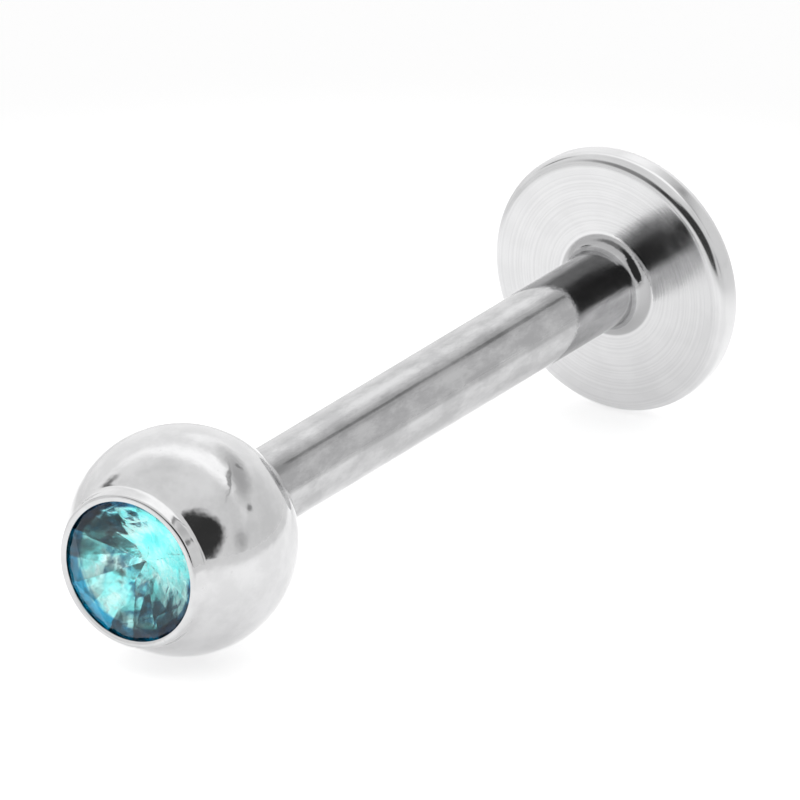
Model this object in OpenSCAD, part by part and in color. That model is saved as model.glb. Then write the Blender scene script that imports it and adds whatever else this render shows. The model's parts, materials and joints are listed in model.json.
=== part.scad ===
// Labret stud: a flat disc on a straight bar, closed by a screw-on ball with a cut stone.
// It lies on its side, with the disc's rim and the ball on the plane z = 0. Millimetres.
// The bar runs along Y with its disc towards +Y and the stone towards -Y.

/* [Bar] */
// Diameter of the bar, 16 gauge
bar_d = 1.2; // [1:0.05:1.6]
// Length worn, from the disc's face to the ball
bar_l = 10; // [6:0.5:16]
// Radius of the fillet where the bar's foot meets the disc
foot_fillet = 0.24; // [0.1:0.02:0.3]

/* [Disc] */
// Diameter of the disc
disc_d = 4.1; // [3.6:0.1:6]
// Thickness of the disc
disc_t = 0.55; // [0.5:0.05:1]
// Rounding of the disc's two edges
disc_edge = 0.2; // [0.1:0.02:0.24]

/* [Screw thread] */
// How much thinner the thread is than the bar
thread_relief = 0.06; // [0:0.02:0.16]
// Length of the thread
thread_l = 1.5; // [1:0.05:1.5]
// Distance from one thread ridge to the next
thread_pitch = 0.25; // [0.2:0.025:0.3]
// Height of a thread ridge
thread_ridge = 0.13; // [0.08:0.01:0.15]
// Length of the plain groove between the bar's shoulder and the first ridge
thread_groove = 0.1; // [0.05:0.01:0.15]
// How much the thread's tip narrows beyond the last ridge
thread_lead = 0.08; // [0.02:0.01:0.12]

/* [Ball] */
// Diameter of the ball
ball_d = 3.45; // [3.4:0.05:5]
// How far the flat where the bar enters the ball reaches beyond the bar
spot_edge = 0.08; // [0.04:0.02:0.16]
// How far the setting's rim stands above the ball's surface
rim_stand = 0.24; // [0.16:0.01:0.26]
// Thickness of the rim's wall at its top
rim_wall = 0.11; // [0.08:0.01:0.13]
// How much thicker the rim's wall is at its root
rim_taper = 0.03; // [0:0.01:0.06]
// How far the rim's root lies inside the ball
rim_sink = 0.1; // [0.05:0.05:0.2]
// How far the rim is pressed in over the stone's edge
rim_grip = 0.033; // [0.02:0.001:0.045]

/* [Stone] */
// Diameter of the stone
stone_d = 2.25; // [2:0.05:2.35]
// Height of the stone's girdle
girdle_h = 0.08; // [0.04:0.01:0.1]
// Size of the table, as a share of the stone's diameter
table_share = 0.7; // [0.6:0.02:0.76]
// Tilt of the eight main crown facets, in degrees
crown_tilt = 22; // [18:1:30]
// How far the stars reach from the table towards the girdle, as a share of the way
star_reach = 0.6; // [0.4:0.05:0.8]
// Tilt of the eight main facets below the girdle, in degrees
back_tilt = 34; // [28:1:40]
// How far down the lower halves reach, as a share of the stone's radius
half_reach = 0.75; // [0.6:0.05:0.8]

/* [Clearances] */
// Gap around the thread in the ball's bore
thread_gap = 0.03; // [0.01:0.01:0.05]
// Gap between the bar's shoulder and the ball
seat_gap = 0.03; // [0.01:0.01:0.05]
// Free depth beyond the end of the thread
tip_gap = 0.1; // [0.05:0.01:0.15]
// Gap around the stone in its seat
stone_gap = 0.02; // [0.01:0.005:0.03]

/* [Hidden] */
$fn = 96;

bar_r = bar_d / 2;
disc_r = disc_d / 2;
ball_r = ball_d / 2;
stone_r = stone_d / 2;
thread_r = (bar_d - thread_relief) / 2;
bore_r = thread_r + thread_gap;
spot_r = bar_r + spot_edge;

// Heights along the stud's own axis, which starts at the back of the disc
shoulder_z = disc_t + bar_l;
ball_z = shoulder_z + sqrt(ball_r * ball_r - spot_r * spot_r);

// The rim's wall, with its heights from the ball's centre. Its inside leans in over the stone's edge
mouth_r = stone_r - rim_grip;
seat_r = stone_r + stone_gap;
rim_r = mouth_r + rim_wall;
rim_root_r = rim_r + rim_taper;
surface_h = sqrt(ball_r * ball_r - rim_root_r * rim_root_r);
rim_root_h = surface_h - rim_sink;
rim_h = surface_h + rim_stand;
grip_h = rim_grip + stone_gap;

// The stone's levels, measured from the middle of its girdle
stone_z = ball_z + rim_h - grip_h - stone_gap - girdle_h / 2;
top_z = girdle_h / 2;
table_r = table_share * stone_r;
table_z = top_z + (stone_r - table_r) * tan(crown_tilt);

// The eight-fold cut: mains stand at every 45 degrees, stars between them
MAINS = 8;
HALVES = 2 * MAINS;
star_turn = 180 / MAINS;
star_in = table_r * cos(star_turn);

// Where two mains and a star meet, with the corners of the upper halves
meet_r = star_in + star_reach * (stone_r - star_in);
meet_z = top_z + (stone_r - meet_r * cos(star_turn)) * tan(crown_tilt);

// Where two back mains and the lower halves meet, as a depth below the girdle
low_r = stone_r * (1 - half_reach);
low_z = (stone_r - low_r * cos(star_turn)) * tan(back_tilt);

// The axis tilts so that both the disc's edge and the ball touch the plane
edge_r = disc_r - disc_edge;
edge_z = disc_t - disc_edge;
tilt = atan2(edge_r, ball_z - edge_z)
    + asin((disc_edge - ball_r) / norm([edge_r, ball_z - edge_z]));
axis_h = edge_r * cos(tilt) + disc_edge + edge_z * sin(tilt);
table_end = (stone_z + table_z) * cos(tilt) + table_r * sin(tilt);
disc_end = disc_edge - disc_edge * cos(tilt) + edge_r * sin(tilt);
axis_y = (table_end - disc_end) / 2;

// Lays a piece that stands along +Z, disc down, onto its side
module lay_down() {
    translate([0, axis_y, axis_h]) rotate([90 + tilt, 0, 0]) children();
}

module disc_profile() {
    square([edge_r, disc_t]);
    translate([0, disc_edge]) square([disc_r, disc_t - 2 * disc_edge]);
    for (z = [disc_edge, edge_z]) translate([edge_r, z]) circle(r = disc_edge);
}

module foot_profile() {
    foot_r = bar_r + foot_fillet;
    difference() {
        square([foot_r, foot_fillet]);
        translate([foot_r, foot_fillet]) circle(r = foot_fillet);
    }
}

// A groove at the shoulder, sharp ridges one after the other and a narrowing tip
module thread_profile(length) {
    root_r = thread_r - thread_ridge;
    ridges = floor((length - thread_groove) / thread_pitch);
    polygon(concat(
        [[0, 0], [root_r, 0], [root_r, thread_groove]],
        [for (k = [0 : ridges - 1]) each [
            [thread_r, thread_groove + (k + 0.5) * thread_pitch],
            [root_r, thread_groove + (k + 1) * thread_pitch],
        ]],
        [[root_r - thread_lead, length], [0, length]]
    ));
}

module disc_post() {
    color("silver") lay_down() {
        rotate_extrude() {
            disc_profile();
            translate([0, disc_t]) foot_profile();
        }
        translate([0, 0, disc_t + foot_fillet]) cylinder(r = bar_r, h = bar_l - foot_fillet - seat_gap);
        translate([0, 0, shoulder_z - seat_gap]) rotate_extrude() thread_profile(thread_l + seat_gap);
    }
}

module ball_blank() {
    sphere(r = ball_r);
    translate([0, 0, rim_root_h]) cylinder(r1 = rim_root_r, r2 = rim_r, h = rim_h - rim_root_h);
}

// The seat: a cone under the stone, a wall around its girdle, the lip leaning over it and the mouth
module stone_seat() {
    floor_h = stone_z - girdle_h / 2 - ball_z;
    clear_h = rim_h + ball_r;
    rotate_extrude() polygon([
        [0, floor_h - seat_r * tan(back_tilt)], [seat_r, floor_h], [seat_r, rim_h - grip_h],
        [mouth_r, rim_h], [mouth_r, clear_h], [0, clear_h],
    ]);
}

// The bore for the thread, and the flat around its mouth
module thread_bore() {
    bore_l = thread_l + tip_gap;
    translate([0, 0, -ball_r]) cylinder(r = bore_r, h = ball_r + bore_l);
    translate([0, 0, -ball_r]) cylinder(r = spot_r, h = ball_r);
}

module bezel_ball() {
    color("gainsboro") lay_down() translate([0, 0, ball_z]) difference() {
        ball_blank();
        stone_seat();
        translate([0, 0, shoulder_z - ball_z]) thread_bore();
    }
}

function ring(count, turn, r, z) =
    [for (k = [0 : count - 1]) [r * cos(turn + k * 360 / count), r * sin(turn + k * 360 / count), z]];

// The corners come in rings: table, crown meets, girdle's top and bottom, back meets, then the point
module cut_stone() {
    crown_meet = MAINS;
    top = 2 * MAINS;
    bottom = top + HALVES;
    back_meet = bottom + HALVES;
    point = back_meet + MAINS;
    corners = concat(
        ring(MAINS, 0, table_r, table_z),
        ring(MAINS, star_turn, meet_r, meet_z),
        ring(HALVES, 0, stone_r, top_z),
        ring(HALVES, 0, stone_r, -top_z),
        ring(MAINS, star_turn, low_r, -top_z - low_z),
        [[0, 0, -top_z - stone_r * tan(back_tilt)]]
    );
    table = [[for (k = [MAINS - 1 : -1 : 0]) k]];
    crown = [for (k = [0 : MAINS - 1]) let (
        next = (k + 1) % MAINS, last = crown_meet + (k + MAINS - 1) % MAINS, meet = crown_meet + k,
        main = top + 2 * k, half = main + 1, next_main = top + 2 * next
    ) each [
        [next, meet, k], [k, meet, main, last], [meet, half, main], [meet, next_main, half],
    ]];
    girdle = [for (k = [0 : HALVES - 1]) let (next = (k + 1) % HALVES)
        [top + k, top + next, bottom + next, bottom + k]];
    back = [for (k = [0 : MAINS - 1]) let (
        last = back_meet + (k + MAINS - 1) % MAINS, meet = back_meet + k,
        main = bottom + 2 * k, half = main + 1, next_main = bottom + 2 * ((k + 1) % MAINS)
    ) each [
        [point, last, main, meet], [meet, main, half], [meet, half, next_main],
    ]];
    color("turquoise") lay_down() translate([0, 0, stone_z])
        polyhedron(points = corners, faces = concat(table, crown, girdle, back));
}

disc_post();
bezel_ball();
cut_stone();
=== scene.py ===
import json
import math

import bpy
from mathutils import Matrix, Vector


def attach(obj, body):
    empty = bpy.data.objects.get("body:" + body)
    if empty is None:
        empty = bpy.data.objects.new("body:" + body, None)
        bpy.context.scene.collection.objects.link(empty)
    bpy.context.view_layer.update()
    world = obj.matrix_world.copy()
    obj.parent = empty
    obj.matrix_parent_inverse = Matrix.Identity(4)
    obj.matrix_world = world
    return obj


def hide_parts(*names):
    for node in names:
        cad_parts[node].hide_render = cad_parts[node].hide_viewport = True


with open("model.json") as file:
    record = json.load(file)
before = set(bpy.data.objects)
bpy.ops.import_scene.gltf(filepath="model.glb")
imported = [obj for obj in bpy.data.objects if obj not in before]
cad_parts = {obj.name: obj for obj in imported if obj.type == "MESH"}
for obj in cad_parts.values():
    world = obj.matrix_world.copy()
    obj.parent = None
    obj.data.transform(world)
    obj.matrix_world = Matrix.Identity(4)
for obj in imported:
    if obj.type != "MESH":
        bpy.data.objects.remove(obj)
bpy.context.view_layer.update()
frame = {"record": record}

MM = 0.001
SEGMENTS = 256

# Sizes in millimetres, as in the part's source
BAR_R = 0.6
BAR_L = 10.0
FOOT_FILLET = 0.24
DISC_R = 2.05
DISC_T = 0.55
DISC_EDGE = 0.2
SEAT_GAP = 0.03
THREAD_R = 0.57
THREAD_L = 1.5
THREAD_PITCH = 0.25
THREAD_RIDGE = 0.13
THREAD_GROOVE = 0.1
THREAD_LEAD = 0.08
THREAD_GAP = 0.03
TIP_GAP = 0.1
BALL_R = 1.725
SPOT_R = 0.68
RIM_STAND = 0.24
RIM_WALL = 0.11
RIM_TAPER = 0.03
RIM_GRIP = 0.033
STONE_R = 1.125
STONE_GAP = 0.02
GIRDLE_H = 0.08
TABLE_R = 0.7 * STONE_R
CROWN_TILT = 22
STAR_REACH = 0.6
BACK_TILT = 34
HALF_REACH = 0.75
MAINS = 8

# Soft edges that only show close up. LIP_ROUND is a share of the lip's half width. The last two are
# degrees that the ball's curve stops short of the flat at its back and of the rim's root
SMALL_EDGE = 0.02
RIM_ROOT_FILLET = 0.1
LIP_ROUND = 0.9
SPOT_BEVEL = 0.4
ROOT_BLEND = 1.6

# The thread's helix. THREAD_BLUNT above 1 flattens the ridges' tops, and THREAD_FADE is the number of
# pitches over which the thread fades out at its tip
THREAD_ROWS = 80
THREAD_BLUNT = 1.15
THREAD_FADE = 1.2

# The foil is pale in its middle. A dark ring of painted shade starts between two shares of the stone's
# radius, and is navy at its outside and along the shaded side set below
SHADE_RING_FROM = 0.78
SHADE_RING_TO = 0.83
SHADE_RING_NAVY_FROM = 0.86
FOIL_CYAN = (0.45, 1.0, 1.0, 1)
FOIL_MINT = (0.92, 1.0, 0.98, 1)
SHADE_RING_TEAL = (0.0, 0.4, 0.66, 1)
SHADE_RING_NAVY = (0.0, 0.12, 0.24, 1)
FOIL_SHADE_SIDE = (0.588, -0.809, 0)
FOIL_ROUGH = 0.19

# The camera looks at the middle of the stud from the photograph's angle. The lens is long because the
# photograph shows no perspective. Past about 1700 mm the other views would clip the stud away
VIEW_AZIMUTH = 32.95
VIEW_ELEVATION = 21.0
LENS = 1600
PX_PER_MM = 68
FRAME_PX = 800
AIM_RIGHT = 3.212
AIM_UP = 2.054

# Heights along the stud's own axis, which starts at the back of the disc
SHOULDER_Z = DISC_T + BAR_L
BALL_Z = SHOULDER_Z + math.sqrt(BALL_R ** 2 - SPOT_R ** 2)
MOUTH_R = STONE_R - RIM_GRIP
SEAT_R = STONE_R + STONE_GAP
RIM_R = MOUTH_R + RIM_WALL
RIM_ROOT_R = RIM_R + RIM_TAPER
RIM_H = math.sqrt(BALL_R ** 2 - RIM_ROOT_R ** 2) + RIM_STAND
GRIP_H = RIM_GRIP + STONE_GAP
STONE_Z = BALL_Z + RIM_H - GRIP_H - STONE_GAP - GIRDLE_H / 2

disc_back = next(m for m in frame["record"]["mounts"] if m["name"] == "disc_back")
AXIS = -Vector(disc_back["axis"]).normalized()
SIDE = Vector((1, 0, 0))
STUD = Matrix((SIDE, AXIS.cross(SIDE), AXIS)).transposed().to_4x4()
STUD.translation = Vector(disc_back["pos_m"])


def tan_of(degrees):
    return math.tan(math.radians(degrees))


def arc(centre, radius, start, end, steps=16):
    """Points (r, z) on an arc, its angles in degrees from the outward direction towards the stone."""
    angles = [math.radians(start + (end - start) * k / steps) for k in range(steps + 1)]
    return [(centre[0] + radius * math.cos(a), centre[1] + radius * math.sin(a)) for a in angles]


def smooth_step(x):
    x = min(max(x, 0), 1)
    return x * x * (3 - 2 * x)


def plain(r, z, turn):
    """The radius of a piece that is round all the way."""
    return r


def lathe(name, sections, materials, radius=plain):
    """A turned solid. Each section is (points, material's place in materials)."""
    verts, faces, finish = [], [], []
    last = None
    last_point = None
    for points, material in sections:
        for r, z in points:
            if last_point and math.dist((r, z), last_point) < 1e-6:
                continue
            start = len(verts)
            if r < 1e-6:
                verts.append((0, 0, z * MM))
                row = [start] * SEGMENTS
            else:
                for k in range(SEGMENTS):
                    turn = k / SEGMENTS
                    angle = 2 * math.pi * turn
                    reach = radius(r, z, turn) * MM
                    verts.append((reach * math.cos(angle), reach * math.sin(angle), z * MM))
                row = [start + k for k in range(SEGMENTS)]
            if last:
                for k in range(SEGMENTS):
                    n = (k + 1) % SEGMENTS
                    quad = [last[k], last[n], row[n], row[k]]
                    faces.append([c for i, c in enumerate(quad) if c not in quad[:i]])
                    finish.append(material)
            last, last_point = row, (r, z)
    return solid(name, verts, faces, finish, materials)


def solid(name, verts, faces, finish, materials, sharp=28):
    """A mesh in the stud's own frame. Edges of more than sharp degrees stay crisp."""
    mesh = bpy.data.meshes.new(name)
    mesh.from_pydata(verts, [], faces)
    for material in materials:
        mesh.materials.append(material)
    mesh.polygons.foreach_set("material_index", finish)
    mesh.shade_smooth()
    mesh.set_sharp_from_angle(angle=math.radians(sharp))
    obj = bpy.data.objects.new(name, mesh)
    bpy.context.scene.collection.objects.link(obj)
    obj.matrix_world = STUD
    return obj


def node(tree, kind, inputs=None, **settings):
    """A shader node. Each input is a plain value or the socket that it is linked to."""
    made = tree.nodes.new("ShaderNode" + kind)
    for key, value in settings.items():
        setattr(made, key, value)
    for key, value in (inputs or {}).items():
        if isinstance(value, bpy.types.NodeSocket):
            tree.links.new(value, made.inputs[key])
        else:
            made.inputs[key].default_value = value
    return made


def sums(tree, operation, *values, clamp=False):
    return node(tree, "Math", dict(enumerate(values)), operation=operation, use_clamp=clamp).outputs[0]


def dot(tree, vector, direction):
    inputs = {0: vector, 1: tuple(direction)}
    return node(tree, "VectorMath", inputs, operation="DOT_PRODUCT").outputs["Value"]


def length(tree, vector):
    return node(tree, "VectorMath", {0: vector}, operation="LENGTH").outputs["Value"]


def ramp(tree, value, low, high, to_low=0.0, to_high=1.0, kind="SMOOTHSTEP"):
    inputs = {"Value": value, "From Min": low, "From Max": high, "To Min": to_low, "To Max": to_high}
    return node(tree, "MapRange", inputs, interpolation_type=kind).outputs["Result"]


def mixed(tree, factor, low, high):
    return node(tree, "Mix", {0: factor, 6: low, 7: high}, data_type="RGBA").outputs[2]


def grey(level):
    """Steel's own grey, a touch towards blue."""
    return (level, level, level + 0.005, 1)


def new_material(name):
    material = bpy.data.materials.new(name)
    material.use_nodes = True
    tree = material.node_tree
    tree.nodes.clear()
    return material, tree


def finish_material(tree, shader):
    out = node(tree, "OutputMaterial")
    tree.links.new(shader.outputs[0], out.inputs["Surface"])


def stretched(tree, scale):
    """The stud's own coordinates in millimetres, stretched by scale."""
    place = node(tree, "TexCoord").outputs["Object"]
    factors = tuple(s / MM for s in scale)
    return node(tree, "VectorMath", {0: place, 1: factors}, operation="MULTIPLY").outputs[0]


def noise(tree, vector, scale, detail=3.0, roughness=0.55):
    inputs = {"Vector": vector, "Scale": scale, "Detail": detail, "Roughness": roughness}
    return node(tree, "TexNoise", inputs).outputs["Fac"]


def bump(tree, height, distance, strength=1.0, normal=None):
    inputs = {"Height": height, "Distance": distance * MM, "Strength": strength}
    if normal:
        inputs["Normal"] = normal
    return node(tree, "Bump", inputs).outputs["Normal"]


def steel(tree, **inputs):
    settings = {"Metallic": 1.0, **{key.replace("_", " "): value for key, value in inputs.items()}}
    return node(tree, "BsdfPrincipled", settings)


def polished_steel():
    """The ball's mirror finish, with faint waves and a few dull pits."""
    material, tree = new_material("polished_steel")
    place = stretched(tree, (1, 1, 1))
    mottle = noise(tree, place, 2.0, 5.0, 0.6)
    pits = ramp(tree, noise(tree, place, 9.0, 2.0), 0.68, 0.74)
    rough = sums(tree, "ADD", ramp(tree, mottle, 0.35, 0.7, 0.04, 0.12), sums(tree, "MULTIPLY", pits, 0.2))
    waves = bump(tree, noise(tree, place, 2.0, 3.0, 0.5), 0.009)
    tone = ramp(tree, mottle, 0.35, 0.65)
    colour = mixed(tree, tone, grey(0.57), grey(0.63))
    shader = steel(tree, Base_Color=colour, Roughness=rough, Normal=waves)
    finish_material(tree, shader)
    return material


def drawn_steel():
    """The bar: fine lines along it, soft mottling, painted shade on its fillet and a painted highlight at
    its edge.
    """
    material, tree = new_material("drawn_steel")
    lines = noise(tree, stretched(tree, (1, 1, 0.02)), 14.0, 4.0, 0.6)
    mottle = noise(tree, stretched(tree, (1, 1, 0.4)), 3.2, 5.0, 0.65)
    rough = ramp(tree, mottle, 0.3, 0.75, 0.04, 0.1)
    normal = bump(tree, lines, 0.002)
    normal = bump(tree, mottle, 0.003, normal=normal)
    colour = mixed(tree, ramp(tree, mottle, 0.35, 0.65), grey(0.4), grey(0.52))
    from_axis = length(tree, stretched(tree, (1, 1, 0)))
    foot_r = BAR_R + FOOT_FILLET
    # Painted shade: the fillet at the bar's foot is darker, as shade in its crease
    foot_shade_mask = ramp(tree, from_axis, BAR_R, BAR_R + 0.3 * FOOT_FILLET)
    foot_highlight_mask = ramp(tree, from_axis, foot_r - 0.06, foot_r - 0.02)
    colour = mixed(tree, foot_shade_mask, colour, grey(0.42))
    # Painted highlight: a bright ring along the fillet's outer edge
    colour = mixed(tree, foot_highlight_mask, colour, grey(0.66))
    shader = steel(tree, Base_Color=colour, Roughness=rough, Normal=normal)
    finish_material(tree, shader)
    return material


def turned_steel():
    """The disc, with the fine rings of a lathe."""
    material, tree = new_material("turned_steel")
    from_axis = length(tree, stretched(tree, (1, 1, 0)))
    rings = node(tree, "TexNoise", {"W": from_axis, "Scale": 26.0, "Detail": 3.0}, noise_dimensions="1D")
    rings = rings.outputs["Fac"]
    mottle = noise(tree, stretched(tree, (1, 1, 1)), 2.0, 3.0)
    rough = ramp(tree, mottle, 0.3, 0.7, 0.12, 0.18)
    normal = bump(tree, rings, 0.0007)
    tangent = node(tree, "Tangent", direction_type="RADIAL", axis="Z").outputs[0]
    tone = sums(tree, "MULTIPLY", sums(tree, "ADD", rings, mottle), 0.5)
    colour = mixed(tree, ramp(tree, tone, 0.38, 0.62), grey(0.59), grey(0.64))
    shader = steel(
        tree, Base_Color=colour, Roughness=rough, Anisotropic=0.5, Tangent=tangent, Normal=normal
    )
    finish_material(tree, shader)
    return material


def crown_glass():
    """The stone's clear glass above the girdle, faintly worn."""
    material, tree = new_material("aqua_glass")
    wear = noise(tree, stretched(tree, (1, 1, 1)), 6.0, 2.0)
    rough = ramp(tree, wear, 0.4, 0.8, 0.0, 0.02)
    shader = node(tree, "BsdfPrincipled", {
        "Base Color": (0.76, 1.0, 1.0, 1), "Roughness": rough, "IOR": 1.47, "Transmission Weight": 1.0,
    })
    finish_material(tree, shader)
    return material


def foil():
    """The stone's foiled back, a little wavy and crinkled, with a dark ring of painted shade at its edge.
    """
    material, tree = new_material("aqua_foil")
    crinkle = noise(tree, stretched(tree, (1, 1, 1)), 2.6, 3.0)
    radial = stretched(tree, (1, 1, 0))
    outward = node(tree, "VectorMath", {0: radial}, operation="NORMALIZE").outputs[0]
    # Painted shade: the foil's dark ring, navy on two opposite sides of the stone and teal between them
    side = dot(tree, outward, FOIL_SHADE_SIDE)
    wander = sums(tree, "MULTIPLY", sums(tree, "SUBTRACT", crinkle, 0.5), 0.08)
    reach = sums(tree, "ADD", length(tree, radial), wander)
    pale = mixed(tree, ramp(tree, crinkle, 0.4, 0.6), FOIL_CYAN, FOIL_MINT)
    shade_ring = mixed(tree, sums(tree, "MULTIPLY", side, side), SHADE_RING_TEAL, SHADE_RING_NAVY)
    shade_ring = mixed(tree, ramp(tree, reach, SHADE_RING_NAVY_FROM * STONE_R, STONE_R), shade_ring, SHADE_RING_NAVY)
    # The painted shade ring takes over from the pale middle towards the stone's edge
    colour = mixed(tree, ramp(tree, reach, SHADE_RING_FROM * STONE_R, SHADE_RING_TO * STONE_R), pale, shade_ring)
    waves = noise(tree, stretched(tree, (1, 1, 1)), 1.3, 2.0)
    normal = bump(tree, crinkle, 0.015, normal=bump(tree, waves, 0.07))
    shader = steel(tree, Base_Color=colour, Roughness=FOIL_ROUGH, Normal=normal)
    finish_material(tree, shader)
    return material


def thread_reach(r, z, turn):
    """The helix of the thread, which starts at the groove and fades out at the tip."""
    low, high = SHOULDER_Z - SEAT_GAP + THREAD_GROOVE, SHOULDER_Z + THREAD_L
    if z < low - 1e-6 or z > high - 1e-6 or r > THREAD_R - THREAD_RIDGE + 1e-6:
        return r
    along = ((z - low) / THREAD_PITCH - turn) % 1.0
    ridge = smooth_step((1 - abs(2 * along - 1)) * THREAD_BLUNT)
    start = smooth_step((z - low) / THREAD_PITCH)
    end = smooth_step((high - z) / (THREAD_FADE * THREAD_PITCH))
    return r + THREAD_RIDGE * ridge * start * end


def disc_post(materials):
    """The disc, the fillet at the bar's foot, the bar and its threaded end."""
    foot_r = BAR_R + FOOT_FILLET
    bar_from = DISC_T + FOOT_FILLET
    edge_r = DISC_R - DISC_EDGE
    tip_z = SHOULDER_Z + THREAD_L
    root_r = THREAD_R - THREAD_RIDGE
    thread_from = SHOULDER_Z - SEAT_GAP
    ridges_from = thread_from + THREAD_GROOVE
    thread_rows = [
        (root_r, ridges_from + (tip_z - ridges_from) * k / THREAD_ROWS) for k in range(THREAD_ROWS)
    ]
    face = [(0, 0), (edge_r * 0.5, 0)]
    face += arc((edge_r, DISC_EDGE), DISC_EDGE, -90, 0)
    face += arc((edge_r, DISC_T - DISC_EDGE), DISC_EDGE, 0, 90)
    face += [(0.5 * (edge_r + foot_r), DISC_T), (foot_r, DISC_T)]
    foot = arc((foot_r, bar_from), FOOT_FILLET, 270, 180)
    bar = [(BAR_R, bar_from + (thread_from - bar_from) * k / 12) for k in range(12)]
    bar += arc((BAR_R - SMALL_EDGE, thread_from - SMALL_EDGE), SMALL_EDGE, 0, 90, 4)
    thread = [(root_r, thread_from)] + thread_rows
    thread += [(root_r - THREAD_LEAD, tip_z), (0, tip_z)]
    sections = [(face, 0), (foot, 1), (bar, 1), (thread, 1)]
    return lathe("turned_disc_post", sections, materials, thread_reach)


def bezel_ball(materials):
    """The ball, from its bore and the flat at its back to its rim and the stone's seat."""
    bore_r = THREAD_R + THREAD_GAP
    bore_end = THREAD_L + TIP_GAP
    shoulder = SHOULDER_Z - BALL_Z
    floor_h = STONE_Z - GIRDLE_H / 2 - BALL_Z
    seat_depth = SEAT_R * tan_of(BACK_TILT)
    spot_angle = math.degrees(math.atan2(shoulder, SPOT_R))
    root_angle = math.degrees(math.acos(RIM_ROOT_R / BALL_R))
    lean = math.degrees(math.atan2(RIM_TAPER, RIM_STAND))
    top_r = RIM_WALL / 2 * LIP_ROUND
    points = [(0, shoulder + bore_end), (bore_r, shoulder + bore_end), (bore_r, shoulder + SMALL_EDGE)]
    points += [(bore_r + SMALL_EDGE, shoulder), (SPOT_R - SMALL_EDGE, shoulder)]
    points += arc((0, 0), BALL_R, spot_angle + SPOT_BEVEL, root_angle - ROOT_BLEND, 90)
    # The fillet at the rim's root, a curve from the ball to the wall that bends where they would meet
    wall_foot = (RIM_ROOT_R - RIM_TAPER * RIM_ROOT_FILLET / RIM_STAND, RIM_H - RIM_STAND + RIM_ROOT_FILLET)
    start = points[-1]
    bend = (RIM_ROOT_R, RIM_H - RIM_STAND)
    points += [
        tuple((1 - t) ** 2 * start[i] + 2 * t * (1 - t) * bend[i] + t * t * wall_foot[i] for i in (0, 1))
        for t in (k / 8 for k in range(1, 9))
    ]
    points += arc((RIM_R - top_r, RIM_H - top_r), top_r, lean, 90 + lean, 8)
    lip = [(MOUTH_R, RIM_H - 0.4 * top_r), (MOUTH_R, RIM_H - 0.6 * GRIP_H)]
    seat = [(SEAT_R, RIM_H - GRIP_H), (SEAT_R, floor_h), (0, floor_h - seat_depth)]
    outline = [(r, z + BALL_Z) for r, z in points + lip + seat]
    return lathe("polished_bezel_ball", [(outline, 0)], materials)


def ring(count, turn, r, z):
    """Corners on a circle around the axis, z millimetres above the middle of the stone's girdle."""
    angles = [math.radians(turn + k * 360 / count) for k in range(count)]
    return [(r * MM * math.cos(a), r * MM * math.sin(a), (STONE_Z + z) * MM) for a in angles]


def cut_stone(materials):
    """The same brilliant cut as the part's source, with the foil on every facet below the girdle."""
    halves = 2 * MAINS
    star_turn = 180 / MAINS
    star_in = TABLE_R * math.cos(math.radians(star_turn))
    top_z = GIRDLE_H / 2
    table_z = top_z + (STONE_R - TABLE_R) * tan_of(CROWN_TILT)
    meet_r = star_in + STAR_REACH * (STONE_R - star_in)
    meet_z = top_z + (STONE_R - meet_r * math.cos(math.radians(star_turn))) * tan_of(CROWN_TILT)
    low_r = STONE_R * (1 - HALF_REACH)
    low_z = (STONE_R - low_r * math.cos(math.radians(star_turn))) * tan_of(BACK_TILT)
    # The corners come in rings: table, crown meets, girdle's top and bottom, back meets, then the point
    verts = ring(MAINS, 0, TABLE_R, table_z) + ring(MAINS, star_turn, meet_r, meet_z)
    verts += ring(halves, 0, STONE_R, top_z) + ring(halves, 0, STONE_R, -top_z)
    verts += ring(MAINS, star_turn, low_r, -top_z - low_z)
    verts += ring(1, 0, 0, -top_z - STONE_R * tan_of(BACK_TILT))
    crown_meet, top = MAINS, 2 * MAINS
    bottom = top + halves
    back_meet = bottom + halves
    point = back_meet + MAINS
    crown = [list(range(MAINS))]
    back = []
    for k in range(MAINS):
        after = (k + 1) % MAINS
        before = (k - 1) % MAINS
        meet, main, half, next_main = crown_meet + k, top + 2 * k, top + 2 * k + 1, top + 2 * after
        crown += [[k, meet, after], [crown_meet + before, main, meet, k]]
        crown += [[meet, main, half], [meet, half, next_main]]
        low, low_main, low_half = back_meet + k, bottom + 2 * k, bottom + 2 * k + 1
        back += [[low_main, back_meet + before, point, low]]
        back += [[low_main, low, low_half], [low_half, low, bottom + 2 * after]]
    girdle = [
        [top + k, bottom + k, bottom + (k + 1) % halves, top + (k + 1) % halves] for k in range(halves)
    ]
    faces = crown + girdle + back
    finish = [0] * len(crown) + [1] * (len(girdle) + len(back))
    return solid("aqua_stone", verts, faces, finish, materials, sharp=1)


def floor():
    """A pale table top. It glows as painted light, brightest in a pool around the stud, so that no hard
    shadow falls.
    """
    material, tree = new_material("table_top")
    place = node(tree, "TexCoord").outputs["Object"]
    near, far = 9 * MM, 20 * MM
    # Painted light: the table's own glow, strongest near the stud and fading outwards, fills in its
    # shadows
    painted_glow = ramp(tree, length(tree, place), near, far, 0.5, 0.15)
    shader = node(tree, "BsdfPrincipled", {
        "Base Color": (0.9, 0.9, 0.9, 1), "Roughness": 0.9, "Specular IOR Level": 0.1,
        "Emission Color": (1, 1, 1, 1), "Emission Strength": painted_glow,
    })
    finish_material(tree, shader)
    mesh = bpy.data.meshes.new("table_top")
    reach, count = 0.4, 64
    turns = [2 * math.pi * k / count for k in range(count)]
    verts = [(reach * math.cos(a), reach * math.sin(a), 0) for a in turns]
    mesh.from_pydata(verts, [], [list(range(count))])
    mesh.materials.append(material)
    obj = bpy.data.objects.new("table_top", mesh)
    bpy.context.scene.collection.objects.link(obj)


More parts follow.
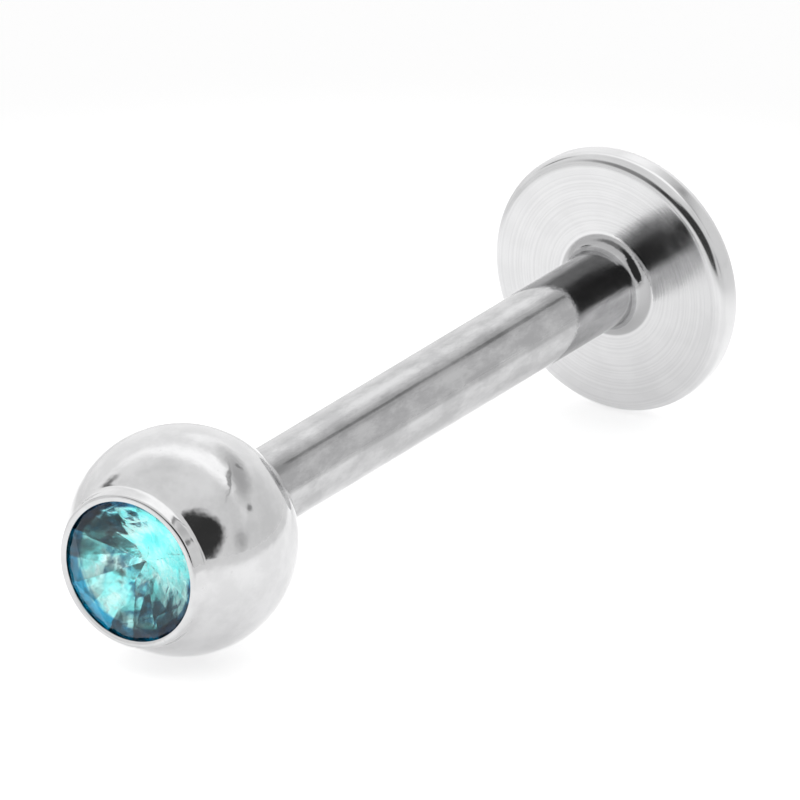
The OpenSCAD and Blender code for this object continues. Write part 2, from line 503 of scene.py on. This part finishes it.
def view_axes():
    azimuth, elevation = math.radians(VIEW_AZIMUTH), math.radians(VIEW_ELEVATION)
    back = Vector((
        math.sin(azimuth) * math.cos(elevation),
        -math.cos(azimuth) * math.cos(elevation),
        math.sin(elevation),
    ))
    right = Vector((math.cos(azimuth), math.sin(azimuth), 0))
    return right, back.cross(right), back


def camera():
    right, up, back = view_axes()
    data = bpy.data.cameras.new("camera")
    data.lens = LENS
    data.sensor_width = 36
    data.clip_start = 0.001
    distance = FRAME_PX / PX_PER_MM * MM * LENS / data.sensor_width
    aim = STUD @ Vector((0, 0, BALL_Z * MM)) + (AIM_RIGHT * right + AIM_UP * up) * MM
    obj = bpy.data.objects.new("camera", data)
    bpy.context.scene.collection.objects.link(obj)
    turn = Matrix((right, up, back)).transposed().to_4x4()
    turn.translation = aim + distance * back
    obj.matrix_world = turn
    bpy.context.scene.camera = obj


# The studio around the stud. Angles in degrees: the azimuth runs to the right from straight behind the
# stud, as the photograph's camera sees it. Each patch is an ellipse: (azimuth, elevation, half width,
# half height, soft edge as a share of the size, brightness). TENT is the brightness between them, and
# WARP is how far their outlines waver
TENT = 1.02
WARP = 0.1
PATCHES = [
    (0, 32, 55, 34, 0.6, 1.2),
    (100, 15, 55, 40, 0.5, 0.92),
    (28, 64, 48, 9, 0.7, 1.5),
    (52, 56, 16, 3, 0.8, 1.55),
    (14, 34, 9, 8, 0.7, 1.4),
    (62, 41, 24, 8, 0.8, 0.6),
    (48, 38, 2.6, 2.6, 0.6, 0.36),
    (76, 50, 18, 1.6, 0.8, 0.45),
    (92, 27, 3.5, 2.5, 0.6, 0.3),
    (117, 9, 6, 7, 0.9, 0.6),
    (-60, 24, 4, 10, 0.6, 0.2),
    (-138, 33, 34, 16, 0.4, 0.35),
    (-168, 30, 26, 14, 0.3, 0.06),
    (166, 24, 30, 26, 0.16, 0.05),
    (152, -6, 6, 16, 0.5, 0.05),
]


def studio():
    world = bpy.data.worlds.new("studio")
    bpy.context.scene.world = world
    world.use_nodes = True
    tree = world.node_tree
    tree.nodes.clear()
    ray = node(tree, "TexCoord").outputs["Generated"]
    right, _, _ = view_axes()
    sky = Vector((0, 0, 1))
    ahead = sky.cross(right)
    wave = node(tree, "TexNoise", {"Vector": ray, "Scale": 5.0, "Detail": 3.0}).outputs["Color"]
    wave = node(tree, "VectorMath", {0: wave, 1: (0.5, 0.5, 0.5)}, operation="SUBTRACT").outputs[0]
    wave = node(tree, "VectorMath", {0: wave, "Scale": WARP}, operation="SCALE").outputs[0]
    bent = node(tree, "VectorMath", {0: ray, 1: wave}, operation="ADD").outputs[0]
    level = ramp(tree, noise(tree, ray, 3.0, 3.0), 0.3, 0.7, TENT * 0.95, TENT * 1.05)
    for azimuth, elevation, half_width, half_height, soft, bright in PATCHES:
        a, e = math.radians(azimuth), math.radians(elevation)
        flat = ahead * math.cos(a) + right * math.sin(a)
        centre = flat * math.cos(e) + sky * math.sin(e)
        across = ahead * -math.sin(a) + right * math.cos(a)
        upward = sky * math.cos(e) - flat * math.sin(e)
        depth = dot(tree, bent, centre)
        reach = []
        for side, half in ((across, half_width), (upward, half_height)):
            angle = sums(tree, "ARCTAN2", dot(tree, bent, side), depth)
            share = sums(tree, "DIVIDE", angle, math.radians(half))
            reach.append(sums(tree, "MULTIPLY", share, share))
        out = sums(tree, "SQRT", sums(tree, "ADD", *reach))
        mask = ramp(tree, out, 1 - soft, 1 + soft, 1.0, 0.0)
        change = sums(tree, "MULTIPLY", mask, sums(tree, "SUBTRACT", bright, level))
        level = sums(tree, "ADD", level, change)
    shown = node(tree, "LightPath").outputs["Is Camera Ray"]
    lit = node(tree, "Background", {"Color": (1, 1, 1, 1), "Strength": level})
    plain_back = node(tree, "Background", {"Color": (1, 1, 1, 1), "Strength": 1.0})
    mix = node(tree, "MixShader", {0: shown, 1: lit.outputs[0], 2: plain_back.outputs[0]})
    out = node(tree, "OutputWorld")
    tree.links.new(mix.outputs[0], out.inputs["Surface"])


bpy.context.scene.view_settings.view_transform = "Standard"

post = disc_post([turned_steel(), drawn_steel()])
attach(post, "post")
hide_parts("disc_post")

ball = bezel_ball([polished_steel()])
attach(ball, "ball")
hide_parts("bezel_ball")

stone = cut_stone([crown_glass(), foil()])
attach(stone, "ball")
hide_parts("cut_stone")

floor()
camera()
studio()
